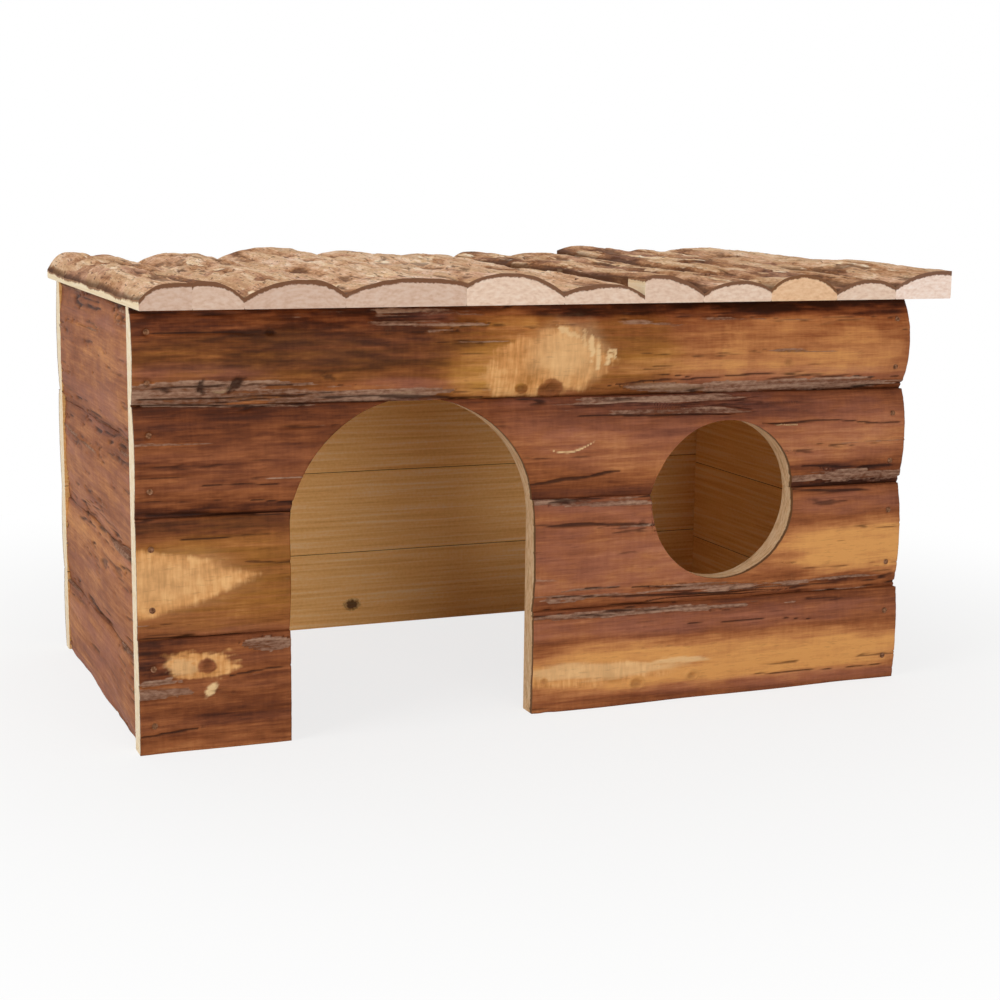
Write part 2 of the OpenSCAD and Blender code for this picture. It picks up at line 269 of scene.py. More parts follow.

# %% [markdown]
# ## Bark, stripped wood and cracks
#
# On the real boards the reddish inner bark shows almost everywhere. Strips of grey outer bark are left
# along the waney edges, cracks run with the grain, and in a few places the knife went through to ochre
# wood. Each of these is a mask from 0 to 1 over the slab. A mask both shapes the surface and tells the
# material what to colour, so a loose flake is thick and grey at the same spot. The large patches that give
# the front its face are listed one by one, in mm along the wall and above the ground; all the rest comes
# from the noise.

# %% Listed patches of the front wall
# row, mask, middle along, middle up, half length, half height, rise per mm, fraying of the rim, strength; a
# patch's number in the list gives its noise
PATCHES = [
    # The first two patches, dark bands along the top edge of the top board, paint the shade under the roof's
    # eave.
    (3, "dark", 60, 141, 80, 4, 0, 1, 0.5), (3, "dark", 205, 141, 100, 4.8, 0, 1.6, 0.85),
    (3, "dark", 45, 130, 66, 11, 0, 0.7, 0.62), (3, "dark", 4, 137, 8, 6, 0, 0.7, 0.8),
    (3, "dark", 86, 136, 13, 7, 0, 1.4, 0.75), (3, "rose", 98, 138, 8, 2.5, 0, 0.5, 0.9),
    (3, "rose", 20, 122, 22, 2.8, -0.02, 0.6, 0.9), (3, "ochre", 52, 126, 56, 8.5, -0.02, 0.8, 0.85),
    (3, "crust", 36, 115.9, 44, 3, -0.03, 0.6, 1), (3, "crust", 48, 112.3, 60, 2.8, -0.02, 0.6, 1),
    (3, "crust", 78, 113.4, 26, 2.8, -0.04, 1, 1), (3, "crust", 96, 137.6, 22, 5, 0, 0.8, 0.4),
    (3, "crack_and_shade", 43.7, 134, 1.8, 1.2, 0, 1.4, 0.8), (3, "crack_and_shade", 10, 116.8, 2.2, 1, -0.3, 1.2, 0.9),
    (3, "crack_and_shade", 21.6, 117.2, 1.4, 2.4, 0, 1.6, 0.95), (3, "crack_and_shade", 32.4, 118, 2.6, 2, 0.6, 1.8, 0.95),
    (3, "crack_and_shade", 63, 119.4, 2.4, 1, -0.3, 1.6, 0.7), (3, "rose", 90, 116.4, 17, 1.9, -0.07, 0.4, 1),
    (3, "dark", 80, 110.9, 14, 1.5, -0.08, 0.5, 0.8), (3, "ochre", 120, 123, 24, 15, 0, 0.6, 1),
    (3, "ochre", 168, 124, 18, 12, 0, 0.8, 0.9), (3, "gold", 120, 121, 16, 10, 0, 0.7, 0.6),
    (3, "bare", 140, 122.5, 21, 11.5, 0, 0.7, 0.9), (3, "bare", 146, 124, 12, 9, 0, 0.8, 1),
    (3, "bare", 127, 117, 9, 7, 0, 0.7, 0.8), (3, "ochre", 128, 134, 14, 9, 0, 0.9, 0.8),
    (3, "gold", 126, 132, 11, 9, 0, 0.9, 0.5), (3, "glow", 147, 124.5, 12, 9, 0, 0.8, 0.4),
    (3, "pale", 145.4, 132.9, 2.4, 1.4, -0.4, 2, 0.9), (3, "pale", 148.6, 131.2, 2.2, 1.2, -0.4, 2, 0.8),
    (3, "pale", 152.6, 129.4, 0.9, 3.4, 0, 2, 0.7), (3, "pale", 155, 127, 0.9, 4.6, 0, 2, 0.9),
    (3, "pale", 157.4, 124.6, 0.8, 4.4, 0, 2, 0.8), (3, "pale", 161.4, 123.6, 1.3, 2, 0.6, 2, 0.9),
    (3, "pale", 163.6, 124.6, 0.7, 1.8, 0, 2, 0.8), (3, "gold", 228, 123.5, 64, 9.5, -0.02, 0.6, 0.5),
    (3, "gold", 211, 124, 7, 8, 0, 0.9, 0.66), (3, "gold", 258, 123, 26, 8, 0, 0.7, 0.7),
    (3, "crust", 185, 112, 17, 1.9, -0.07, 0.3, 1), (3, "pale", 186, 112.2, 14, 1.3, -0.07, 0.5, 0.4),
    (3, "rose", 235, 114.5, 50, 3.6, 0, 0.6, 0.9), (3, "crust", 240, 111.4, 46, 2.7, -0.005, 1.2, 0.9),
    (2, "dark", 20, 92, 64, 20, 0, 0.6, 0.36), (2, "dark", 25, 78, 60, 3, 0, 0.5, 0.6),
    (2, "rose", 38, 92, 26, 8, 0, 0.8, 0.25), (2, "rose", 148, 96, 16, 5, 0.03, 0.5, 1),
    (2, "dark", 186, 105.6, 48, 3.4, -0.03, 1.6, 0.3), (2, "crust", 192, 105.8, 54, 3.4, -0.03, 1.2, 0.5),
    (2, "rose", 200, 106, 70, 4, -0.03, 0.8, 0.9), (2, "rose", 200, 96, 72, 12, -0.03, 0.8, 0.8),
    (2, "rose", 250, 90, 30, 8, 0, 0.6, 1), (2, "gold", 254, 91, 34, 8, 0, 0.8, 0.36),
    (2, "rose", 256, 98, 30, 8, 0, 0.8, 1), (2, "gold", 175, 88, 30, 6, -0.03, 0.8, 0.25),
    (2, "dark", 258, 81, 22, 2.4, -0.03, 0.8, 0.5), (2, "crust", 260, 77.5, 26, 2.6, -0.03, 1.6, 0.8),
    (2, "dark", 260, 74.6, 26, 1.6, -0.01, 0.5, 0.7), (1, "ochre", 24, 57, 40, 17, 0, 0.5, 1),
    (1, "wedge", -3, 55.2, 38, 11.2, 0.05, 0.3, 1), (1, "glow", 6, 56, 24, 7.5, 0.05, 0.6, 0.22),
    (1, "dark", 24, 72.5, 44, 2.6, 0, 0.6, 0.25), (1, "rose", 32, 38.4, 24, 1.8, -0.02, 0.5, 0.6),
    (1, "rose", 157, 71.5, 28, 2.6, -0.05, 0.4, 1), (1, "crust", 158, 72.8, 24, 1, -0.05, 0.6, 0.7),
    (1, "rose", 165, 56, 44, 16, 0, 0.8, 0.9), (1, "crust", 180, 40.4, 50, 2.6, -0.03, 0.9, 0.85),
    (1, "gold", 272, 50.5, 38, 9.2, -0.02, 0.5, 1), (1, "dark", 259, 40, 12, 2, 0, 0.6, 0.6),
    (1, "rose", 262, 68, 26, 4, 0, 0.6, 0.9), (0, "dark", 4, 29, 9.5, 6.5, 0, 1, 0.8),
    (0, "crust", 6, 21.5, 10, 3, 0, 0.9, 0.7), (0, "crust", 42, 33.6, 8.5, 2.4, -0.05, 0.4, 1),
    (0, "bare", 20, 28.2, 12, 4.8, -0.1, 1.2, 0.85), (0, "pale", 14, 27.6, 5, 3, -0.1, 1.2, 0.35),
    (0, "pale", 23, 19.8, 2, 1.8, 0.6, 0.9, 0.9), (0, "dark", 30, 13, 36, 13, 0, 0.9, 0.4),
    (0, "rose", 200, 29, 80, 4.8, -0.015, 0.6, 1), (0, "crust", 176, 33.4, 48, 1.5, -0.02, 0.8, 0.8),
    (0, "gold", 210, 13.8, 90, 8.4, -0.01, 0.5, 1), (0, "bare", 158, 12.4, 30, 4.2, -0.03, 0.6, 0.8),
    (0, "pale", 192, 14.6, 12, 1.2, -0.02, 1, 0.6), (0, "pale", 158, 13.6, 30, 3, -0.03, 0.9, 0.45),
    (0, "rose", 235, 3.6, 64, 2.4, -0.015, 0.5, 0.9),
]
# How far the rim of a patch is blurred, as a share of its size
BLUR = {
    "gold": 0.5, "ochre": 0.5, "dark": 0.55, "rose": 0.5, "bare": 0.4,
    "wedge": 0.22, "glow": 0.6, "pale": 0.25, "crust": 0.2, "crack_and_shade": 0.5,
}
# row, middle along, middle up, size of the knot
KNOTS = [
    (3, 141.4, 113, 3.4), (3, 130.6, 113.4, 1.6), (3, 21.5, 117.3, 2.2), (3, 32.9, 118.8, 1.8),
    (3, 43.7, 134, 1.5), (3, 232.6, 119.7, 1.6), (2, 67, 92, 0.8), (1, 176, 65, 1.6), (1, 213, 39, 1.8),
    (0, 22, 27.8, 2.4), (0, 30.3, 18.4, 1.0), (0, 20.2, 7.8, 0.9), (0, 175, 7.2, 2.6), (0, 197, 8.5, 2.3),
    (0, 139.7, 11.5, 1.0),
]
# row, mask, start along, start up, end along, end up, sag in the middle, half width
LINES = [
    (3, "crack_and_shade", 0, 118.2, 52, 117.2, 0, 0.45), (3, "crack_and_shade", 58, 112.4, 118, 110.6, 0, 0.7),
    (3, "crack_and_shade", 172, 116.4, 283, 113.6, 0, 0.35), (3, "crack_and_shade", 2, 134.6, 46, 133.9, 0, 0.3),
    (3, "crack_and_shade", 160, 113.0, 205, 113.6, -1, 0.4), (3, "crack_and_shade", 0, 114.3, 70, 113.9, 0, 0.45),
    (3, "pale", 22.5, 117.6, 32, 118.2, 2.2, 0.45), (3, "pale", 80, 113.9, 100, 112.6, 0, 0.25),
    (2, "crack_and_shade", 133, 80.6, 168, 83.6, 0, 1.0), (2, "crack_and_shade", 222, 98.4, 283, 96.8, 0, 0.55),
    (2, "crack_and_shade", 238, 82.2, 279, 80.2, 0, 0.7), (2, "crack_and_shade", 150, 104.0, 212, 102.2, 0, 0.45),
    (2, "crack_and_shade", 30, 80.4, 66, 79.2, 0, 0.4), (2, "crack_and_shade", 20, 86.0, 50, 85.0, 0, 0.25),
    (2, "pale", 140, 92.6, 157.5, 95.2, 2.4, 0.5), (2, "pale", 226, 97.6, 240, 97.0, 0, 0.25),
    (1, "crack_and_shade", 134, 66.8, 182, 63.9, 0, 0.55), (1, "crack_and_shade", 137, 40.8, 232, 37.0, 0, 0.55),
    (1, "crack_and_shade", 150, 43.4, 196, 41.4, 0, 0.35), (1, "crack_and_shade", 6, 70.0, 50, 69.2, 0, 0.3),
    (0, "crack_and_shade", 0, 6.0, 19, 6.9, 0, 0.5), (0, "crack_and_shade", 28, 23.6, 50, 25.6, 0, 0.4),
    (0, "crack_and_shade", 190, 27.0, 262, 25.4, 0, 0.3), (0, "crack_and_shade", 210, 5.9, 283, 4.6, 0, 0.35),
    (2, "crack_and_shade", 0, 77.2, 50, 76.6, 0, 0.9), (1, "crack_and_shade", 0, 76.2, 50, 75.7, 0, 0.6),
]
PATCH_SEED = 300
LINE_SEED = 500
MOTTLE_SEED = 900


def soft_patch(s, z, seed, name, middle, up, half_length, half_height, rise, fray):
    """1 inside an ellipse, or for a wedge nearly a rhombus, and 0 outside; noise frays the blurred rim."""
    blur = BLUR[name]
    power = 1.3 if name == "wedge" else 2.0
    far = np.abs(s - middle) / half_length
    high = np.abs(z - up - rise * (s - middle)) / half_height
    reach = (far ** power + high ** power) ** (1 / power)
    along = np.clip(0.5 * half_length, 1.5, 16)
    across = np.clip(0.4 * half_height, 0.6, 3.5)
    return step_up(1 + blur, 1 - blur, reach + fray * fractal(s, z, along, across, seed, 4))


def drawn_line(s, z, seed, from_s, from_z, to_s, to_z, sag, half_width):
    """A line that noise bends and thins: 1 within half its width, tapering to nothing at both ends."""
    share = np.clip((s - from_s) / (to_s - from_s), 0, 1)
    line = from_z + (to_z - from_z) * share - 4 * sag * share * (1 - share)
    bends = noise_of(s, 0 * s, seed)
    line = line + 0.06 * min(to_s - from_s, 36) * bends(0.5 * min(to_s - from_s, 50), 1, 0)
    taper = np.sqrt(np.sin(np.pi * share).clip(0, 1)) * (0.7 + 1.2 * bends(9, 1, 7, 3))
    return step_up(1.5, 0.4, np.abs(z - line) / (half_width * taper.clip(0.05, None))) * (taper > 0.1)


def hand_masks(slab, s, z):
    """The listed masks of a front board, each the strongest of its patches; empty for other slabs."""
    masks = {name: np.zeros(np.shape(s)) for name in BLUR}
    if slab.wall == "front":
        for k, (row, name, *ellipse, strength) in enumerate(PATCHES):
            if row == slab.row:
                patch = strength * soft_patch(s, z, PATCH_SEED + k, name, *ellipse)
                masks[name] = np.maximum(masks[name], patch)
        for k, (row, name, *line) in enumerate(LINES):
            if row == slab.row:
                masks[name] = np.maximum(masks[name], drawn_line(s, z, LINE_SEED + k, *line))
    masks["bare"] = np.maximum(masks["bare"], masks["wedge"])
    masks["pale"] = np.maximum(masks["pale"], masks["glow"])
    masks["dark"] = masks["dark"] * np.clip(0.95 + 2.2 * fractal(s, z, 8, 1.2, MOTTLE_SEED), 0.3, 1.4)
    return masks


print(len(PATCHES), "patches,", len(KNOTS), "knots,", len(LINES), "lines")

# %% Relief and masks of a wall board
# Ages of a wall's four rows, its further cracks, its crust along the edges and its lilac tint
WALL_BARKS = {
    "front": ([0.5] * 4, 0.0, 0.0, 0.25),
    "left": ([0.36, 0.33, 0.36, 0.43], 0.09, 0.15, 0.8),
    "right": ([0.44] * 4, 0.04, 0.15, 0.8),
    "back": ([0.45] * 4, 0.04, 0.15, 0.8),
}
EDGE_WIDTH = 3.0
WALL_SEED = (1000, 37)


def wall_bark(slab, s, y, w, z):
    """Relief in mm and the masks of a wall board.

    Relief = long fibres + short fibres + strips of crust - cracks - the depth of the stripped wood, each the
    product of its mask and a size in mm. The noise is read along lines that sway, so the grain does too. Near
    a seam there are more cracks and, but for the front, more crust.
    """
    seed = WALL_SEED[0] + WALL_SEED[1] * slab.phase
    ages, cracked, edge_crust, lilac = WALL_BARKS[slab.wall]
    hand = hand_masks(slab, s, z)
    near_edge = np.exp(-(w - y if slab.row == 0 else np.minimum(y, w - y)) / EDGE_WIDTH)
    even = noise_of(s, y, seed)
    grain = noise_of(s, y + 2.5 * even(60, 14, 9, 3), seed)
    worn = grain(75, 13, 1) - 0.3 * near_edge if slab.wall in ("right", "back") else 0 * s
    gold = np.maximum(hand["gold"], 0.8 * step_up(0.04, 0.2, worn))
    ochre = np.maximum(hand["ochre"], 0.8 * step_up(0.08, 0.18, worn))
    bare = np.maximum(hand["bare"], step_up(0.16, 0.29, worn))
    flakes = grain(60, 2.4, 2) + edge_crust * near_edge + 0.5 * hand["crust"]
    crust = step_up(0.24, 0.31, flakes) * (1 - bare)
    lines = 1 - np.abs(grain(80, 3.4, 3, 3)) / 0.04
    wanted = cracked + 0.42 * near_edge + 0.5 * even(60, 8, 4, 3)
    crack_and_shade = step_up(0.2, 0.9, lines) * step_up(0.13, 0.24, wanted)
    lip = step_up(0.17, 0.21, flakes) * step_up(0.25, 0.22, flakes)
    crack_and_shade = np.maximum(crack_and_shade, 0.75 * lip * step_up(0.02, 0.16, even(14, 3, 5, 3) + 0.06))
    crack_and_shade = np.maximum(crack_and_shade * (1 - bare), hand["crack_and_shade"])
    # The near_edge term darkens each board towards its edges: painted shade of the rounded board edges.
    age_and_shade = ages[slab.row] + 0.42 * grain(100, 9, 0) + 0.16 * near_edge
    # The dark mask darkens the bark further; at the top of the front it carries the painted shade under the
    # eave.
    age_and_shade = age_and_shade - 0.5 * gold + 0.45 * hand["dark"]
    rose = np.maximum(hand["rose"], lilac * step_up(0.0, 0.2, grain(70, 5, 10)))
    smooth = 1 - np.maximum(0.85 * bare, 0.55 * gold)
    relief = smooth * (0.55 * grain(34, 3.2, 6) + 0.3 * even(10, 1.1, 7, 3))
    relief += crust * (0.4 + 0.7 * grain(22, 1.8, 8)) + 0.35 * hand["pale"]
    relief -= 0.8 * crack_and_shade + 0.45 * bare
    return relief, {
        "age_and_shade": age_and_shade, "ochre": ochre, "rose": rose * (1 - gold), "bare": bare, "pale": hand["pale"],
        "crust": crust, "crack_and_shade": crack_and_shade,
    }


# %% Relief and masks of a roof slat
ROOF_SEED = (5000, 41)
# From this slat on, the left flanks get a dark strip of painted shade
PAINTED_SHADE_FLANKS_FROM = 7
END_FADE = 5.0


def roof_bark(slab, s, y, w, z):
    """Relief in mm and the masks of a slat: the ridges of the dome, broken into plates and flakes.

    Plates end in small steps. The height of a spot also gives its colour: dark furrows, worn and pale tops.
    """
    seed = ROOF_SEED[0] + ROOF_SEED[1] * slab.phase
    rim = np.minimum(y, w - y)
    even = noise_of(s, y, seed)
    grain = noise_of(s, y + 2.0 * even(40, 12, 9, 3), seed)
    flakes = grain(9, 3.0, 1)
    plates = grain(26, 4.5, 0) + 0.4 * flakes
    height = 0.3 * ridges(slab, s, y) / RIDGE_HEIGHT + plates
    crust = step_up(0.02, 0.12, height)
    furrow = step_up(-0.12, -0.26, height)
    lines = 1 - np.abs(grain(46, 3.0, 2, 3)) / 0.05
    crack_and_shade = np.maximum(0.7 * furrow, step_up(0.2, 0.9, lines) * step_up(0.0, 0.12, even(40, 8, 3, 3)))
    # A dark line within about 1.3 mm of each long edge paints the shade in the gaps between the slats.
    crack_and_shade = np.maximum(crack_and_shade, 0.9 * step_up(1.3, 0.3, rim + 2 * even(20, 4, 8, 3)))
    # A dark strip along the left edge of the later slats paints the shade on their raised left flanks.
    if slab.row >= PAINTED_SHADE_FLANKS_FROM:
        crack_and_shade = np.maximum(crack_and_shade, 0.85 * step_up(3.2, 0.8, y + 4 * even(24, 6, 11, 3)))
    age_and_shade = slab.age_and_shade + 0.6 * grain(16, 9, 4) + 0.7 * grain(60, 3.2, 12)
    # The last term darkens the bark towards each long edge: more painted shade towards the gaps between
    # slats.
    age_and_shade = age_and_shade - 0.5 * height + 0.25 * np.exp(-rim / 2.5)
    bare = step_up(0.12, 0.24, grain(26, 3.4, 5)) * (1 - crack_and_shade)
    rose = 0.8 * step_up(0.0, 0.2, grain(30, 12, 7, 3))
    relief = 0.7 * plates + 0.25 * step_up(-0.01, 0.05, plates) + 0.3 * flakes
    relief += 0.3 * even(4, 1.2, 6, 3) - 0.4 * crack_and_shade - 0.15
    relief *= 1 - 0.85 * np.exp(-np.minimum(s, slab.length - s) / END_FADE)
    none = np.zeros(np.shape(s))
    return relief, {
        "age_and_shade": age_and_shade, "ochre": none, "rose": rose, "bare": bare, "pale": none, "crust": crust, "crack_and_shade": crack_and_shade,
    }


# %% [markdown]
# ## Knots and nail heads
#
# A knot is a low swelling with a sunk, dark eye, and bark stays on it where the wood round it is stripped.
# A nail was driven just under the bark, so each one sits at the bottom of a small round dent. Both are
# radial functions.

# %% Dents and swellings
NAIL_SHARES = (0.25, 0.75)
NAIL_SINK = 0.6
ROOF_NAIL_INSET = 7.5
OUTER_INSET = 38.0
OUTER_SHIFT = 2.0
NAIL_DENT = (1.5, 1.0)
KNOT_STRETCH = 1.25
KNOT_SEED = 77


def nails_of(slab):
    """Nail places on a slab as (s, y from the slab's low edge)."""
    if slab.wall in ("front", "back"):
        ends = (BOARD_T / 2, WALL_W - BOARD_T / 2)
        widths = [float(seam(slab.wall, slab.row + 1, s) - seam(slab.wall, slab.row, s)) for s in ends]
        return [(s, share * w) for s, w in zip(ends, widths) for share in NAIL_SHARES]
    if slab.wall == "roof":
        outer = slab.row in (0, len(SLATS) - 1)
        inset = ROOF_D / 2 + FRONT + (OUTER_INSET if outer else ROOF_NAIL_INSET)
        middle = (slat_ends[slab.row] - slat_starts[slab.row]) / 2
        if slab.row == 0:
            middle = LEFT + BOARD_T - OUTER_SHIFT + ROOF_W / 2
        if slab.row == len(SLATS) - 1:
            middle = RIGHT - BOARD_T + OUTER_SHIFT + ROOF_W / 2 - slat_starts[slab.row]
        return [(inset, middle), (ROOF_D - inset, middle)]
    return []


def with_nails(slab, s, y, bed, top):
    """The bark lowered to just under each nail's head, inside a radius of 1 mm, with a rim 0.5 mm wide."""
    for ns, ny in nails_of(slab):
        inside = step_up(*NAIL_DENT, np.hypot(s - ns, y - ny))
        top = top * (1 - inside) + np.minimum(top, bed) * inside
    return top


def with_knots(slab, s, z, relief, masks):
    """Adds each knot: a ring swells by 1/5 of its size, a dark eye sinks by 1/4, and bare wood gives way."""
    for row, middle, up, size in KNOTS:
        if slab.wall == "front" and row == slab.row:
            reach = np.hypot((s - middle) / KNOT_STRETCH, z - up) / size
            reach = reach + 0.6 * fractal(s, z, 3, 2, KNOT_SEED, 2)
            ring = np.exp(-((reach - 0.8) / 0.35) ** 2)
            eye = step_up(0.85, 0.25, reach)
            relief = relief + 0.2 * size * ring - 0.25 * size * eye
            shade = 0.42 * eye + 0.25 * step_up(1.5, 0.9, reach) * (1 - eye)
            masks["crack_and_shade"] = np.maximum(masks["crack_and_shade"], shade)
            for key in ("bare", "pale"):
                masks[key] = masks[key] * (1 - 0.9 * step_up(1.35, 0.8, reach))
    return relief


print("nails on a front board:", nails_of(wall_slab("front", 0)))

# %% [markdown]
# ## A closed mesh from a grid
#
# Each slab is one grid of points for the bark, a skirt down to the sawn face, and that face. The skirt
# draws in by a narrow bevel at the bottom, so that neighbouring boards show a fine groove on the inside. A
# plain sawn face is one flat polygon. Where the doorway or the window is cut in, the polygon would be
# hollow, and Blender may fill a hollow polygon wrongly, so there the face is a grid too.
#
# The mesh gets two UV maps: one in metres along and across the grain, which the materials read, and one in
# which nothing overlaps, for baking. The masks become point attributes, and so do the depth under the bark,
# the distance from the middle of the log and the tone of its wood.

# %% Borders and bands of a grid
BEVEL = 0.12
SKIRT = 0.5
THINNEST = 2.0
BARK, SAWN, CUT, END = range(4)
BAKE_MARGIN = 0.01
BAKE_SHEET = (0.01, 0.54)
BAKE_FACE = (0.56, 0.82)
BAKE_SKIRT = ((0.84, 0.92), (0.93, 0.98))


def rim_of(n, m):
    """Indices of the border of an (n + 1) x (m + 1) grid, once round anticlockwise from its first corner."""
    i = np.concatenate([np.arange(n), np.full(m, n), np.arange(n, 0, -1), np.zeros(m, int)])
    j = np.concatenate([np.zeros(n, int), np.arange(m), np.full(n, m), np.arange(m, 0, -1)])
    return i, j


def drawn_in(grid, axis):
    """The grid with its two borders across one axis moved in by the bevel, and the rest in proportion."""
    low = np.take(grid, [0], axis)
    high = np.take(grid, [-1], axis)
    return grid + BEVEL * (1 - 2 * (grid - low) / (high - low))


def on_sheet(unit, band):
    """Places from 0 to 1 laid into a band of the baking map, as (u, v)."""
    u = BAKE_MARGIN + (1 - 2 * BAKE_MARGIN) * unit[..., 0]
    return np.stack([u, band[0] + (band[1] - band[0]) * unit[..., 1]], -1)


def fill_mesh(mesh, points, faces, slots):
    """Puts points and faces into a mesh; faces are arrays with the corners of one face in each row."""
    corners = np.concatenate([part.ravel() for part in faces])
    sizes = np.concatenate([np.full(len(part), part.shape[1]) for part in faces])
    mesh.vertices.add(len(points))
    mesh.vertices.foreach_set("co", (points * MM).astype(np.float32).ravel())
    mesh.loops.add(len(corners))
    mesh.loops.foreach_set("vertex_index", corners.astype(np.int32))
    mesh.polygons.add(len(sizes))
    mesh.polygons.foreach_set("loop_start", (np.cumsum(sizes) - sizes).astype(np.int32))
    mesh.polygons.foreach_set("material_index", slots.astype(np.int32))
    mesh.polygons.foreach_set("use_smooth", slots == BARK)


print("border of a 2 x 1 grid:", list(zip(*[k.tolist() for k in rim_of(2, 1)])))

# %% Net of a slab
def net_of(n, m, hollow):
    """The faces of a slab with n x m cells over its points: the bark's grid, the hem, then the sawn face.

    The rings are the border at these three levels. A hollow slab's sawn face is a grid, else one polygon.
    """
    i, j = rim_of(n, m)
    grid = np.arange((n + 1) * (m + 1)).reshape(n + 1, m + 1)
    quads = np.stack([grid[:-1, :-1], grid[1:, :-1], grid[1:, 1:], grid[:-1, 1:]], 2).reshape(-1, 4)
    first = grid[i, j]
    second = grid.size + np.arange(len(i))
    face_start = grid.size + len(i)
    third = face_start + (first if hollow else np.arange(len(i)))
    rings = (first, second, third)
    skirts = [np.stack([a, b, np.roll(b, -1), np.roll(a, -1)], 1) for a, b in zip(rings, rings[1:])]
    below = quads[:, ::-1] + face_start if hollow else third[None, ::-1]
    side = np.select([(j == 0) & (i < n), (i == n) & (j < m), (j == m) & (i > 0)], [0, 1, 2], 3)
    return SimpleNamespace(
        n=n, m=m, i=i, j=j, hollow=hollow, side=side, rings=rings, quads=quads, skirts=skirts, below=below,
    )


def on_points(net, sheet, hem, face):
    """Three grids of values, read at the points of the bark, of the hem and of the sawn face."""
    face = face.reshape(-1, *face.shape[2:]) if net.hollow else face[net.i, net.j]
    return np.concatenate([sheet.reshape(-1, *sheet.shape[2:]), hem[net.i, net.j], face])


print("sides round a 2 x 1 net:", net_of(2, 1, False).side)

# %% Slots and maps of a slab
WINDOW_X = 208.5
WINDOW_Z = 71.5
WINDOW_R = 28.5
NOTCH = 0.12
SEAM_REACH = 0.05
# Slats with a sawn long side, and from which s on: the outermost two, and one that stands above its neighbour
# in front; side 0 is left, 2 is right
CUT_SLAT_SIDES = {0: (0, 0), 6: (0, 168), 10: (2, 0)}
NO_SIDE = (9, 0)


def skirt_slots(slab, net, s, y, w, cut_sides):
    """The slot of each step round the border: a sawn end, a cut (doorway, window or slat), else bark."""
    rim_s = s[net.i, net.j]
    is_end = np.isin(net.side, (1, 3)) & ~np.isin(net.side, cut_sides)
    cut_side, cut_from = CUT_SLAT_SIDES.get(slab.row, NO_SIDE) if slab.wall == "roof" else NO_SIDE
    in_reach = np.abs(rim_s - WINDOW_X) < WINDOW_R + 2 * NOTCH
    is_window = net.hollow & (net.side % 2 == 0) & in_reach & (slab.row in (1, 2))
    on_seam = np.minimum(y, w - y)[net.i, net.j] < SEAM_REACH
    is_cut = np.isin(net.side, cut_sides) | is_window & ~(on_seam & np.roll(on_seam, -1))
    is_cut |= (net.side == cut_side) & (rim_s >= cut_from)
    return np.where(is_end, END, np.where(is_cut, CUT, BARK))


def grain_map(net, local, is_end):
    """Mm along and across the grain: s and y on the bark and the sawn face, the way round and t on the skirt.

    An end shows the log across, so there y stands for the way round.
    """
    rs, ry = local[net.rings[0], 0], local[net.rings[0], 1]
    run = np.concatenate([[0], np.cumsum(np.hypot(np.diff(rs), np.diff(ry)))])
    run_on = np.append(run[1:], run[-1] + np.hypot(rs[0] - rs[-1], ry[0] - ry[-1]))
    near = np.where(is_end, ry, run)
    far = np.where(is_end, np.roll(ry, -1), run_on)
    levels = [local[ring, 2] for ring in net.rings]
    walls = [
        np.stack([near, high, near, low, far, np.roll(low, -1), far, np.roll(high, -1)], 1).reshape(-1, 2)
        for high, low in zip(levels, levels[1:])
    ]
    return np.concatenate([local[net.quads.ravel(), :2], *walls, local[net.below.ravel(), :2]])


def bake_map(net):
    """A map in which nothing overlaps: bark, sawn face and both parts of the skirt have a band each."""
    unit = np.stack(np.meshgrid(np.arange(net.n + 1) / net.n, np.arange(net.m + 1) / net.m, indexing="ij"), 2)
    spots = on_points(net, unit, unit, unit)
    one = np.ones(len(net.i))
    here = np.arange(len(one)) / len(one)
    there = here + 1 / len(one)
    strip = np.stack([here, one, here, 0 * one, there, 0 * one, there, one], 1).reshape(-1, 2)
    return np.concatenate([
        on_sheet(spots[net.quads.ravel()], BAKE_SHEET), *(on_sheet(strip, band) for band in BAKE_SKIRT),
        on_sheet(spots[net.below.ravel()], BAKE_FACE),
    ])


print("places in the baking map of a 2 x 1 net:", len(bake_map(net_of(2, 1, False))))

# %% Build one slab
GRAIN_SHIFT = np.array([370.0, 230.0])
PITH_DEPTH = 9.0
EDGE_AGE = 0.9


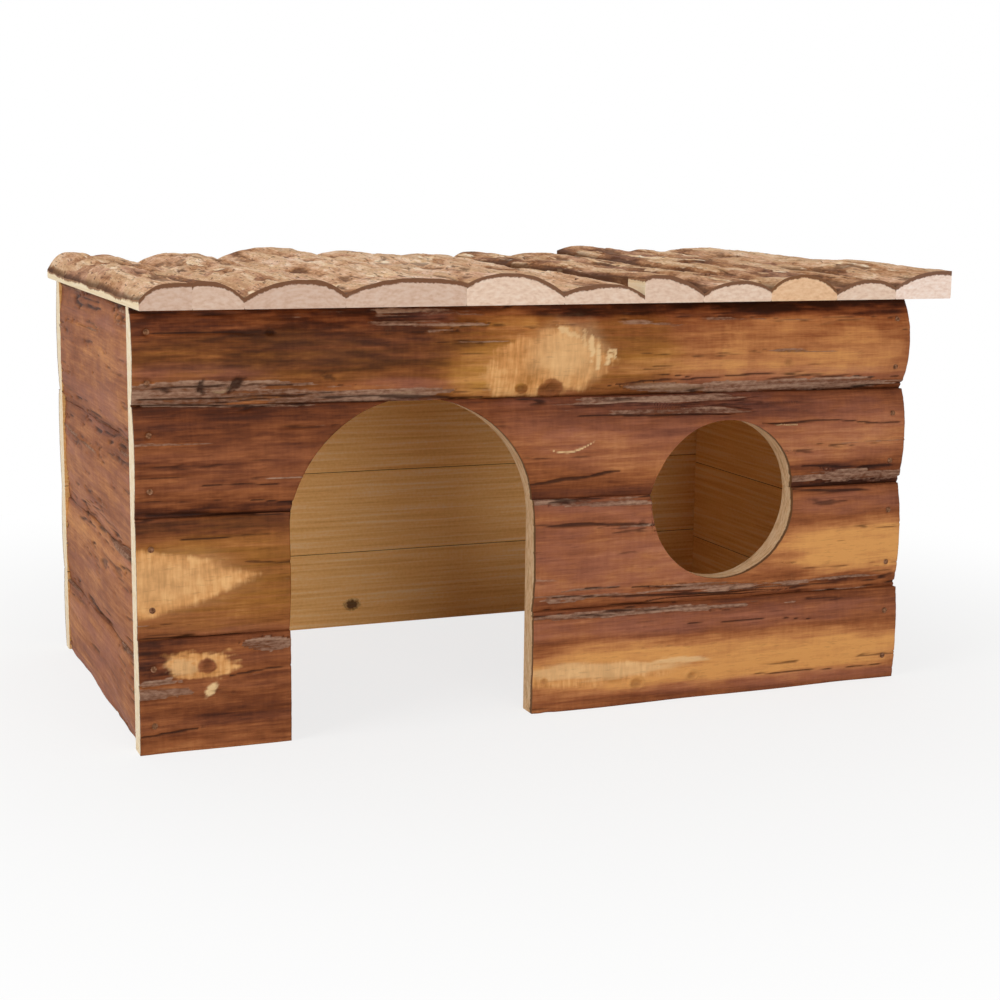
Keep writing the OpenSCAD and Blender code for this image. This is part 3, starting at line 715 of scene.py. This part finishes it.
def build_slab(name, slab, s, y, w, z, foot, cut_sides, bark):
    """Turn grids of s and y into a closed mesh: dome plus relief, a skirt round it and a sawn face below.

    w is the board's width at each point, z its height, which places the patches, and foot the height of the
    low edge. cut_sides are the ends that the doorway cuts: 1 is the far end, 3 the near one.
    """
    base = thickness(slab, s, y, w)
    relief, masks = bark(slab, s, y, w, z)
    relief = with_knots(slab, s, z, relief, masks)
    bed = thickness(slab, s, y, w, worn=False) - NAIL_SINK
    top = np.maximum(with_nails(slab, s, y, bed, base + relief), THINNEST)
    height = y + foot
    net = net_of(s.shape[0] - 1, s.shape[1] - 1, bool(cut_sides))
    hem = np.stack([s, height, np.full(s.shape, SKIRT)], 2)
    face = np.stack([drawn_in(s, 0), drawn_in(height, 1), np.zeros(s.shape)], 2)
    local = on_points(net, np.stack([s, height, top], 2), hem, face)
    origin, along, across, out = (np.array(v, float) for v in PLACES[slab.wall])
    points = origin + local[:, :1] * along + local[:, 1:2] * across + local[:, 2:] * out
    skirt = skirt_slots(slab, net, s, y, w, cut_sides)
    slots = np.concatenate([np.full(len(net.quads), BARK), skirt, skirt, np.full(len(net.below), SAWN)])
    mesh = bpy.data.meshes.new(name)
    fill_mesh(mesh, points, (net.quads, *net.skirts, net.below), slots)
    grain = (grain_map(net, local, skirt == END) + GRAIN_SHIFT * slab.phase) * MM
    for key, places in (("grain", grain), ("OFBake", bake_map(net))):
        mesh.uv_layers.new(name=key).uv.foreach_set("vector", places.astype(np.float32).ravel())

    rest = len(points) - s.size
    values = {
        key: np.append(mask.ravel(), np.full(rest, EDGE_AGE * (key == "age_and_shade"))) for key, mask in masks.items()
    }
    middle = (foot + slab.peak * w) + 0 * s
    pith = np.hypot(local[:, 1] - on_points(net, middle, middle, middle), local[:, 2] + PITH_DEPTH)
    depth = on_points(net, np.zeros(s.shape), top - SKIRT, top)
    values.update(depth=depth * MM, pith=pith * MM, tone=np.full(len(points), slab.tone))
    for key, value in values.items():
        mesh.attributes.new(key, "FLOAT", "POINT").data.foreach_set("value", value.astype(np.float32))
    mesh.update(calc_edges=True)
    mesh.validate()
    piece = bpy.data.objects.new(name + "_bark", mesh)
    bpy.context.scene.collection.objects.link(piece)
    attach(piece, "root")
    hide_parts(name)
    return piece


# %% [markdown]
# ## Cutting the doorway and the window into the grid
#
# Boolean cuts would leave ragged triangles along the arch. Instead the grid itself is bent: each row of a
# left-hand board ends where the arch is at that height, and the columns over and under the window stop at
# its circle. The columns near the window are spaced by the cosine, so they crowd where the circle turns
# upright.

# %% Grids of the front wall
STEP = 0.5
DOOR_X = 49.5
DOOR_R = 43.0
DOOR_SPRING = 68.5
DOOR_MID = DOOR_X + DOOR_R


def arch_half(z):
    """Half the doorway's width at height z: its radius up to the spring line, then the half chord."""
    return np.sqrt(np.maximum(DOOR_R ** 2 - np.maximum(z - DOOR_SPRING, 0) ** 2, 0))


def cut_end(i, b, turn):
    """Where the rows b of front board i meet the doorway, on its left (-1) or right (1), by four tries."""
    x = np.full(len(b), DOOR_MID + turn * DOOR_R)
    for _ in range(4):
        z = seam("front", i, x) * (1 - b) + seam("front", i + 1, x) * b
        x = DOOR_MID + turn * arch_half(z)
    return x


def spaced(low, high, step):
    """Even steps from low to high as shares from 0 to 1."""
    return np.linspace(0, 1, max(int(np.ceil((high - low) / step)), 2) + 1)


def front_grid(i, part):
    """Grids of x and of the height for front board i: the left part, the right part or the whole."""
    b = spaced(SEAMS["front"][i], SEAMS["front"][i + 1], STEP)
    if part == "whole":
        x = spaced(0, WALL_W, STEP)[:, None] * WALL_W + 0 * b
    elif part == "left":
        x = spaced(0, DOOR_X, STEP)[:, None] * cut_end(i, b, -1)
    else:
        start = cut_end(i, b, 1)
        if i == 0:
            x = start + spaced(DOOR_MID + DOOR_R, WALL_W, STEP)[:, None] * (WALL_W - start)
        else:
            near = WINDOW_X - WINDOW_R - NOTCH
            far = WINDOW_X + WINDOW_R + NOTCH
            turn = np.linspace(0, np.pi, int(np.pi * WINDOW_R / STEP))
            x = np.concatenate([
                start + spaced(DOOR_MID + DOOR_R, near, STEP)[:, None] * (near - start),
                (WINDOW_X - WINDOW_R * np.cos(turn))[:, None] + 0 * b,
                far + spaced(far, WALL_W, STEP)[:, None] * (WALL_W - far) + 0 * b,
            ])
    low = seam("front", i, x)
    high = seam("front", i + 1, x)
    off = np.abs(x - WINDOW_X)
    chord = np.sqrt(np.maximum(WINDOW_R ** 2 - off ** 2, 0))
    if part == "right" and i == 1:
        high = np.where(off <= WINDOW_R + 1e-6, np.minimum(high, WINDOW_Z - chord), high)
    if part == "right" and i == 2:
        low = np.where(off <= WINDOW_R, np.maximum(low, WINDOW_Z + chord), low)
    return x, low + (high - low) * b


pieces = []
for i in range(4):
    slab = wall_slab("front", i)
    for part in (["whole"] if i == 3 else ["left", "right"]):
        x, height = front_grid(i, part)
        low = seam("front", i, x)
        width = seam("front", i + 1, x) - low
        name = "front_top_board" if i == 3 else f"front_{ROWS[i]}_{part}_board"
        cut = {"whole": [], "left": [1], "right": [3]}[part]
        pieces.append(build_slab(name, slab, x, height - low, width, height, low, cut, wall_bark))
print("front wall:", [(p.name, len(p.data.polygons)) for p in pieces])

# %% [markdown]
# ## The other walls and the roof
#
# These slabs have straight ends, so a plain grid is enough. The side walls and the back wall are seen at a
# slant or from further off and get a coarser step.

# %% Grids of the side walls, the back wall and the roof
FAR_STEP = 0.65


def straight_slab(name, slab, low, high, step, bark):
    """A slab between the lines low and high across the wall or the roof, on an even grid of straight rows."""
    across = spaced(low, high, step)
    s = spaced(0, slab.length, step)[:, None] * slab.length + 0 * across
    y = 0 * s + across * (high - low)
    return build_slab(name, slab, s, y, high - low, y + low, low, [], bark)


for wall in ("left", "right", "back"):
    for i, row in enumerate(ROWS):
        lines = SEAMS[wall][i:i + 2]
        pieces.append(straight_slab(f"{wall}_{row}_board", wall_slab(wall, i), *lines, FAR_STEP, wall_bark))
for i in range(len(SLATS)):
    lines = slat_lines[i:i + 2]
    pieces.append(straight_slab(f"roof_slat_{i + 1}", slat_slab(i), *lines, STEP, roof_bark))
print("pieces:", len(pieces), "faces:", sum(len(p.data.polygons) for p in pieces))

# %% [markdown]
# ## Materials from nodes
#
# One small function adds a node, sets it up, links it and returns one of its outputs, so that a material
# reads like a formula. Colours are written as sRGB hex, as a paint chart gives them, and turned to the
# linear values that the renderer works with.

# %% Node and colour helpers
FACTOR, COLOUR_A, COLOUR_B, MIXED = 0, 6, 7, 2


def linear(code):
    """An sRGB hex colour as linear RGBA: c / 12.92 up to 0.04045, then ((c + 0.055) / 1.055) ^ 2.4."""
    parts = [int(code[k:k + 2], 16) / 255 for k in (1, 3, 5)]
    return [c / 12.92 if c <= 0.04045 else ((c + 0.055) / 1.055) ** 2.4 for c in parts] + [1.0]


def add(tree, kind, sockets=(), stops=(), out=0, **settings):
    """Add the node ShaderNode + kind and return its output out, or with None all of them.

    Settings are its properties and stops a ramp's colours. Sockets are its inputs, in order or by name
    or number: each is a value, or an output to link.
    """
    made = tree.nodes.new("ShaderNode" + kind)
    for key, value in settings.items():
        setattr(made, key, value)
    named = sockets if isinstance(sockets, dict) else dict(enumerate(sockets))
    for key, value in named.items():
        if isinstance(value, bpy.types.NodeSocket):
            tree.links.new(value, made.inputs[key])
        else:
            made.inputs[key].default_value = value
    if stops:
        ramp = made.color_ramp.elements
        while len(ramp) < len(stops):
            ramp.new(1.0)
        for element, (at, code) in zip(ramp, stops):
            element.position = at
            element.color = linear(code)
    return made.outputs if out is None else made.outputs[out]


def new_material(name):
    """An empty node material, as (material, node tree)."""
    material = bpy.data.materials.new(name)
    material.use_nodes = True
    material.node_tree.nodes.clear()
    return material, material.node_tree


def noise_fields(tree, uv, table):
    """Noise stretched along the grain, one field for each row of (name, mm along, mm across, detail)."""
    fields = {}
    for key, along, across, detail in table:
        scale = (1 / (along * MM), 1 / (across * MM), 1.0)
        place = add(tree, "Mapping", {"Vector": uv, "Scale": scale})
        sockets = {"Vector": place, "Scale": 1.0, "Detail": detail, "Roughness": 0.6}
        fields[key] = add(tree, "TexNoise", sockets, noise_dimensions="2D")
    return fields


def layered(tree, colour, layers):
    """A colour with each of the layers, given as (share from 0 to 1, colour), laid over it in turn."""
    for share, over in layers:
        sockets = {FACTOR: share, COLOUR_A: colour, COLOUR_B: over}
        colour = add(tree, "Mix", sockets, data_type="RGBA", out=MIXED)
    return colour


print("bark brown is", np.round(linear("#8a5638"), 3))

# %% [markdown]
# ## Pine bark on the walls
#
# Young pine has a thin reddish bark. A draw knife took most of its grey outside off, so the eye gets a
# silky brown that goes from gold where the cut was deep to red-brown, drawn out in streaks. The age mask
# gives the depth of the cut and also holds painted shade: it darkens the bark nearly to black along the
# board edges and under the roof's eave. Streaky noise frays it, and the other masks lay yellow-brown and
# lilac tints, stripped wood, grey crust and cracks over it; on the roof the crack mask also holds painted
# shade.

# %% Wall bark
BARK_MASKS = ("age_and_shade", "ochre", "rose", "bare", "pale", "crust", "crack_and_shade")
# The marks in bark, by mm along and across the grain and by detail; chatter is the knife's and runs across it
BARK_FIELDS = [
    ("streak", 45, 2.0, 6.0), ("fibre", 10, 0.6, 3.0), ("blot", 18, 6, 4.0), ("grit", 2.4, 0.9, 3.0),
    ("cloud", 12, 7, 3.0), ("fleck", 6, 0.8, 2.0), ("chatter", 1.4, 9, 2.0),
]
BARK_BUMP = 0.25


def bark_material(name, look):
    """Bark: age and painted shade + streaks via a ramp; tints, bare wood, crust, cracks and shade over it."""
    material, tree = new_material(name)
    uv = add(tree, "UVMap", uv_map="grain")
    mask = {key: add(tree, "Attribute", attribute_name=key, out="Fac") for key in BARK_MASKS}
    field = noise_fields(tree, uv, BARK_FIELDS)
    value = mask["age_and_shade"]
    for key, share in look["streaks"].items():
        part = add(tree, "Math", [field[key], 0.5], operation="SUBTRACT")
        value = add(tree, "Math", [part, share, value], operation="MULTIPLY_ADD")
    colour = add(tree, "ValToRGB", [value], look["ages"])
    layers = []
    for key, grain, most in (("ochre", "streak", 0.85), ("rose", "blot", 0.75)):
        tint = add(tree, "MapRange", [field[grain], 0.3, 0.6, 0.25, most])
        tint = add(tree, "Math", [tint, mask[key]], operation="MULTIPLY")
        layers.append((tint, add(tree, "ValToRGB", [value], look[key])))
    cleft = add(tree, "Mix", {0: look["chatter"], 2: field["cloud"], 3: field["chatter"]})
    wood = add(tree, "ValToRGB", [cleft], look["woods"])
    torn = add(tree, "Math", [cleft, 0.9, mask["bare"]], operation="MULTIPLY_ADD")
    torn = add(tree, "MapRange", [torn, 0.6, 1.25], interpolation_type="SMOOTHSTEP")
    layers += [(torn, wood), (mask["pale"], linear(look["splinter"]))]
    scale = add(tree, "Mix", {0: 0.35, 2: field["streak"], 3: field["grit"]})
    flake = add(tree, "ValToRGB", [scale], look["crusts"])
    laid = add(tree, "Math", [scale, 1.9, mask["crust"]], operation="MULTIPLY_ADD")
    laid = add(tree, "MapRange", {0: laid, 1: 1.25, 2: 2.0, 4: 0.88}, interpolation_type="SMOOTHSTEP")
    fleck = add(tree, "MapRange", {0: field["fleck"], 1: 0.62, 2: 0.72, 4: look["flecks"]})
    split = add(tree, "MapRange", {0: mask["crack_and_shade"], 1: 0.15, 2: 0.9, 4: 0.8})
    split = add(tree, "Math", [fleck, split], operation="MAXIMUM")
    layers += [(laid, flake), (split, linear(look["crack_and_shade"]))]
    colour = layered(tree, colour, layers)
    matt = add(tree, "MapRange", {0: mask["crust"], 3: look["rough"][0], 4: look["rough"][1]})
    height = add(tree, "Math", [field["fibre"], field["grit"]], operation="ADD")
    rough = add(tree, "MapRange", {0: mask["bare"], 3: 0.35, 4: 0.05})
    bump = add(tree, "Bump", {"Height": height, "Strength": rough, "Distance": BARK_BUMP * MM})
    shader = add(tree, "BsdfPrincipled", {
        "Base Color": colour, "Roughness": matt, "Normal": bump, "Specular IOR Level": 0.12,
    })
    add(tree, "OutputMaterial", {"Surface": shader}, out=None)
    return material


pine_bark = bark_material("shaved_pine_bark", {
    "ages": [
        (0.0, "#d89a58"), (0.25, "#ba7a48"), (0.45, "#965831"), (0.65, "#733d1f"), (0.82, "#512713"),
        (1.0, "#35180b"),
    ],
    "ochre": [(0.0, "#cd9848"), (0.4, "#a06a28"), (0.7, "#744618"), (1.0, "#48260c")],
    "rose": [(0.0, "#c48c74"), (0.4, "#a4674f"), (0.7, "#804c3a"), (1.0, "#4a2822")],
    "woods": [(0.32, "#b0763c"), (0.5, "#d39558"), (0.68, "#e8b274")],
    "splinter": "#ecc894",
    "crusts": [(0.38, "#523629"), (0.5, "#8a6855"), (0.62, "#aa8871")],
    "crack_and_shade": "#2a130a",
    "flecks": 0.15,
    "chatter": 0.4,
    "streaks": {"streak": 0.45, "fibre": 0.22, "blot": 0.3, "cloud": 0.2, "chatter": 0.1},
    "rough": (0.6, 0.85),
})

# %% [markdown]
# ## Old bark on the roof
#
# The slats keep their outer bark: dry, matt and pinkish tan, in long ridges with brown furrows between
# them. The same material function does it with other colours, because only the layers' colours and weights
# differ.

# %% Roof bark
old_bark = bark_material("dry_outer_pine_bark", {
    "ages": [(0.0, "#f4d8ba"), (0.28, "#dcb08c"), (0.52, "#b98860"), (0.74, "#8a5a38"), (1.0, "#5a3620")],
    "ochre": [(0.0, "#d8b48c"), (1.0, "#6a4a2c")],
    "rose": [(0.0, "#ecc8b2"), (0.4, "#c8987e"), (1.0, "#6e4634")],
    "woods": [(0.34, "#d0a478"), (0.5, "#e8c49c"), (0.66, "#f6e0c2")],
    "splinter": "#ecd4b4",
    "crusts": [(0.36, "#a67850"), (0.5, "#d2a880"), (0.64, "#eecfae")],
    "crack_and_shade": "#48280f",
    "flecks": 0.75,
    "chatter": 0.08,
    "streaks": {"streak": 0.4, "fibre": 0.4, "blot": 0.55, "cloud": 0.5, "grit": 0.5},
    "rough": (0.75, 0.92),
})

# %% [markdown]
# ## Sawn pine and end grain
#
# Every cut face is pine. Along the grain the eye sees fine darker lines of late wood and faint saw marks;
# across it, arcs of growth rings. Just under the bark a dark rim shows in the cut. The depth attribute,
# which is zero at the bark, draws that rim, the pith attribute, the distance from the middle of the log,
# draws the rings, and the tone tells one log from another. The inner faces get a warmer, more saturated
# pine than the cut edges, which paints the warm light bounced round inside the house. One knot shows there
# near the ground.

# %% Cut wood
# Growth rings in mm and their sway in radians, the knot in mm, and the rim's fraying and edge in mm
RING_WIDTH = 1.3
RING_SWAY = 9.0
INNER_KNOT = np.array([WALL_W - 115.0, 9.0])
KNOT_RADII = (2.4, 3.8)
RIM_FRAY = (1.2, 1.8)
RIM_EDGE = (1.75, 1.35)
CUT_BUMP = 0.2


def cut_material(name, woods, tones, rim_colour, rim_width, along, across, ring_share, knot_at=None):
    """Sawn wood: streaks and growth rings through a ramp, times the tint that the log's tone gives.

    A dark rim is laid over it down to about rim_width mm under the bark, and a knot where one is given.
    """
    material, tree = new_material(name)
    uv = add(tree, "UVMap", uv_map="grain")
    table = [("streak", along, across, 5.0), ("grit", 1.2, 1.2, 4.0), ("cloud", 30, 8, 3.0)]
    field = noise_fields(tree, uv, table)
    pith = add(tree, "Attribute", attribute_name="pith", out="Fac")
    turns = add(tree, "Math", [pith, 2 * math.pi / (RING_WIDTH * MM)], operation="MULTIPLY")
    turns = add(tree, "Math", [field["cloud"], RING_SWAY, turns], operation="MULTIPLY_ADD")
    ring = add(tree, "Math", [turns], operation="SINE")
    value = add(tree, "Mix", {0: 0.25, 2: field["streak"], 3: field["grit"]})
    value = add(tree, "Math", [ring, ring_share, value], operation="MULTIPLY_ADD")
    colour = add(tree, "ValToRGB", [value], woods)
    tone = add(tree, "Attribute", attribute_name="tone", out="Fac")
    tint = add(tree, "ValToRGB", [tone], tones)
    sockets = {FACTOR: 1.0, COLOUR_A: colour, COLOUR_B: tint}
    colour = add(tree, "Mix", sockets, data_type="RGBA", blend_type="MULTIPLY", out=MIXED)
    layers = []
    if knot_at:
        spot = add(tree, "VectorMath", [uv, (*knot_at, 0.0)], operation="SUBTRACT")
        spot = add(tree, "VectorMath", [spot, (0.7, 1.0, 0.0)], operation="MULTIPLY")
        reach = add(tree, "VectorMath", [spot], operation="LENGTH", out="Value")
        reach = add(tree, "Math", [field["grit"], 2.0 * MM, reach], operation="MULTIPLY_ADD")
        limits = {1: KNOT_RADII[0] * MM, 2: KNOT_RADII[1] * MM, 3: 0.9, 4: 0.0}
        dark = add(tree, "MapRange", {0: reach, **limits})
        layers.append((dark, linear("#3a2010")))
    depth = add(tree, "Attribute", attribute_name="depth", out="Fac")
    for key, most in zip(("grit", "cloud"), RIM_FRAY):
        depth = add(tree, "Math", [field[key], -most * MM, depth], operation="MULTIPLY_ADD")
    limits = {1: (rim_width - RIM_EDGE[0]) * MM, 2: (rim_width - RIM_EDGE[1]) * MM, 3: 0.92, 4: 0.0}
    rim = add(tree, "MapRange", {0: depth, **limits})
    colour = layered(tree, colour, [*layers, (rim, linear(rim_colour))])
    bump = add(tree, "Bump", {"Height": value, "Strength": 0.3, "Distance": CUT_BUMP * MM})
    shader = add(tree, "BsdfPrincipled", {
        "Base Color": colour, "Roughness": 0.7, "Normal": bump, "Specular IOR Level": 0.15,
    })
    add(tree, "OutputMaterial", {"Surface": shader}, out=None)
    return material


plain = [(0.0, "#ffffff"), (1.0, "#ffffff")]
slat_tones = [(0.0, "#dcd0c6"), (0.5, "#f5efe5"), (0.75, "#ffffff"), (1.0, "#f1dbbb")]
knot_uv = tuple((INNER_KNOT + GRAIN_SHIFT * PHASES["back"]) * MM)
# The inner faces' warm, saturated pine is painted bounce light from inside the house.
sawn_pine = cut_material(
    "sawn_pine_with_painted_bounce_light", [(0.28, "#dea35c"), (0.5, "#f4c07a"), (0.72, "#fad6a2")], plain,
    "#7c5439", 0.9, 60, 1.4, 0.0, knot_uv,
)
cut_pine = cut_material(
    "fresh_cut_pine", [(0.34, "#cfa67a"), (0.5, "#e6c094"), (0.66, "#f0d4ae")], plain,
    "#6a4324", 1.7, 6, 1.4, 0.03,
)
end_grain = cut_material(
    "pine_end_grain", [(0.34, "#e8cbb9"), (0.5, "#f4dbcb"), (0.66, "#fae7db")], slat_tones,
    "#6a3e1e", 1.35, 3, 1.2, 0.025,
)
board_end = cut_material(
    "pine_board_end", [(0.34, "#ecd2aa"), (0.5, "#f8e4c2"), (0.66, "#fdf0da")], plain,
    "#70492f", 0.9, 3, 1.2, 0.03,
)
slat_side = cut_material(
    "pale_sapwood", [(0.3, "#ecd2a8"), (0.5, "#f8e2bc"), (0.7, "#fcecd2")], plain,
    "#8a5a34", 0.7, 40, 1.0, 0.0,
)
WALL_LOOKS = (pine_bark, sawn_pine, cut_pine, board_end)
ROOF_LOOKS = (old_bark, sawn_pine, slat_side, end_grain)
for piece in pieces:
    on_roof = piece.name.startswith("roof")
    for material in ROOF_LOOKS if on_roof else WALL_LOOKS:
        piece.data.materials.append(material)
print("materials:", [m.name for m in bpy.data.materials])

# %% [markdown]
# ## Nails
#
# The nails stay CAD nodes: plain wire nails, dull grey steel that has begun to brown. A little noise in
# colour and roughness keeps them from looking like chrome.

# %% Nail steel
nail_steel, tree = new_material("dull_wire_nail_steel")
RUST_SPOT = 0.8
place = add(tree, "TexCoord", out="Object")
spots = add(tree, "TexNoise", {"Vector": place, "Scale": 1 / (RUST_SPOT * MM), "Detail": 3.0})
rusts = [(0.35, "#5a3a28"), (0.55, "#7c573e"), (0.8, "#94705a")]
stain = add(tree, "ValToRGB", [spots], rusts)
worn = add(tree, "MapRange", {0: spots, 3: 0.75, 4: 0.5})
shader = add(tree, "BsdfPrincipled", {"Base Color": stain, "Metallic": 1.0, "Roughness": worn})
add(tree, "OutputMaterial", {"Surface": shader}, out=None)
for name in ("front_nails", "back_nails", "roof_nails"):
    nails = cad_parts[name]
    nails.data.materials.clear()
    nails.data.materials.append(nail_steel)
print("nails:", [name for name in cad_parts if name.endswith("nails")])

# %% [markdown]
# ## Floor, light and camera
#
# A pale floor and three large soft lamps, the strongest from the upper left, one low in front and a weak
# one above, with weak light from all round, as in a product photo. The floor and the world look white to
# the camera through Light Path. Near the house the floor keeps part of the real shading, so that the house
# stands in a soft shadow, and further off it fades into the backdrop. The camera's place was worked out
# from the corners of the house.

# %% Stage
# In metres; FLOOR_NEAR is the share of pure white that the camera sees in the floor at the house
FLOOR_HALF = 4.0
FLOOR_NEAR = 0.78
FADE_FROM = 0.15
FADE_TO = 0.38
WHITE = linear("#ffffff")
AMBIENT = 0.34


def seen_directly(tree):
    """1 for rays that come straight from the camera or by way of a mirror or glass, else 0."""
    path = add(tree, "LightPath", out=None)
    seen = path["Is Camera Ray"]
    for key in ("Is Glossy Ray", "Is Transmission Ray"):
        seen = add(tree, "Math", [seen, path[key]], operation="MAXIMUM")
    return seen


floor_mesh = bpy.data.meshes.new("floor")
r = FLOOR_HALF
floor_mesh.from_pydata([(-r, -r, 0), (r, -r, 0), (r, r, 0), (-r, r, 0)], [], [(0, 1, 2, 3)])
floor = bpy.data.objects.new("floor", floor_mesh)
bpy.context.scene.collection.objects.link(floor)
paper, tree = new_material("white_paper_floor")
place = add(tree, "TexCoord", out="Object")
reach = add(tree, "VectorMath", [place], operation="LENGTH", out="Value")
fade = [reach, FADE_FROM, FADE_TO, FLOOR_NEAR, 1.0]
share = add(tree, "MapRange", fade, interpolation_type="SMOOTHSTEP")
share = add(tree, "Math", [share, seen_directly(tree)], operation="MULTIPLY")
matt_white = add(tree, "BsdfDiffuse", {"Color": linear("#ecebe8")})
white = add(tree, "Emission", {"Color": WHITE, "Strength": 1.0})
mixed = add(tree, "MixShader", [share, matt_white, white])
add(tree, "OutputMaterial", {"Surface": mixed}, out=None)
floor_mesh.materials.append(paper)

world = bpy.data.worlds.new("studio")
bpy.context.scene.world = world
world.use_nodes = True
tree = world.node_tree
tree.nodes.clear()
ambient = add(tree, "Background", {"Color": WHITE, "Strength": AMBIENT})
backdrop = add(tree, "Background", {"Color": WHITE, "Strength": 1.0})
mixed = add(tree, "MixShader", [seen_directly(tree), ambient, backdrop])
add(tree, "OutputWorld", {"Surface": mixed}, out=None)
print("floor fades from", FADE_FROM, "to", FADE_TO, "m")

# %% Lights
# name, place in metres, width in metres, watts; all face the middle of the house
AIM = Vector((0, 0, 0.07))
LIGHTS = [
    ("key", (-1.25, -0.4, 1.0), 0.8, 10.5),
    ("front", (0.1, -1.3, 0.18), 0.7, 7.2),
    ("top", (0.1, 0.25, 1.4), 1.0, 4.0),
]
for name, spot, size, watts in LIGHTS:
    lamp = bpy.data.lights.new(name, "AREA")
    lamp.size = size
    lamp.energy = watts
    light = bpy.data.objects.new(name, lamp)
    light.location = spot
    light.rotation_euler = (Vector(spot) - AIM).to_track_quat("Z", "Y").to_euler()
    bpy.context.scene.collection.objects.link(light)
print("lights:", [row[0] for row in LIGHTS])

# %% Camera
AZIMUTH = math.radians(22.27)
ELEVATION = math.radians(10.03)
ROLL = math.radians(0.72)
EYE = (-249.03, -630.43, 182.32)
FOCAL_PX = 1812.96
PICTURE_PX = 1000
flat = math.cos(ELEVATION)
forward = np.array([math.sin(AZIMUTH) * flat, math.cos(AZIMUTH) * flat, -math.sin(ELEVATION)])
level = np.array([math.cos(AZIMUTH), -math.sin(AZIMUTH), 0.0])
upright = np.cross(level, forward)
turn = np.eye(4)
turn[:3, 0] = math.cos(ROLL) * level + math.sin(ROLL) * upright
turn[:3, 1] = math.cos(ROLL) * upright - math.sin(ROLL) * level
turn[:3, 2] = -forward
turn[:3, 3] = np.array(EYE) * MM
eye = bpy.data.cameras.new("photo_view")
eye.sensor_width = 36.0
eye.lens = eye.sensor_width * FOCAL_PX / PICTURE_PX
eye.clip_start = 0.05
eye.clip_end = 50.0
camera = bpy.data.objects.new("photo_view", eye)
camera.matrix_world = Matrix(turn.tolist())
bpy.context.scene.collection.objects.link(camera)
bpy.context.scene.camera = camera
bpy.context.scene.view_settings.view_transform = "Standard"
print("lens:", round(eye.lens, 2), "mm")
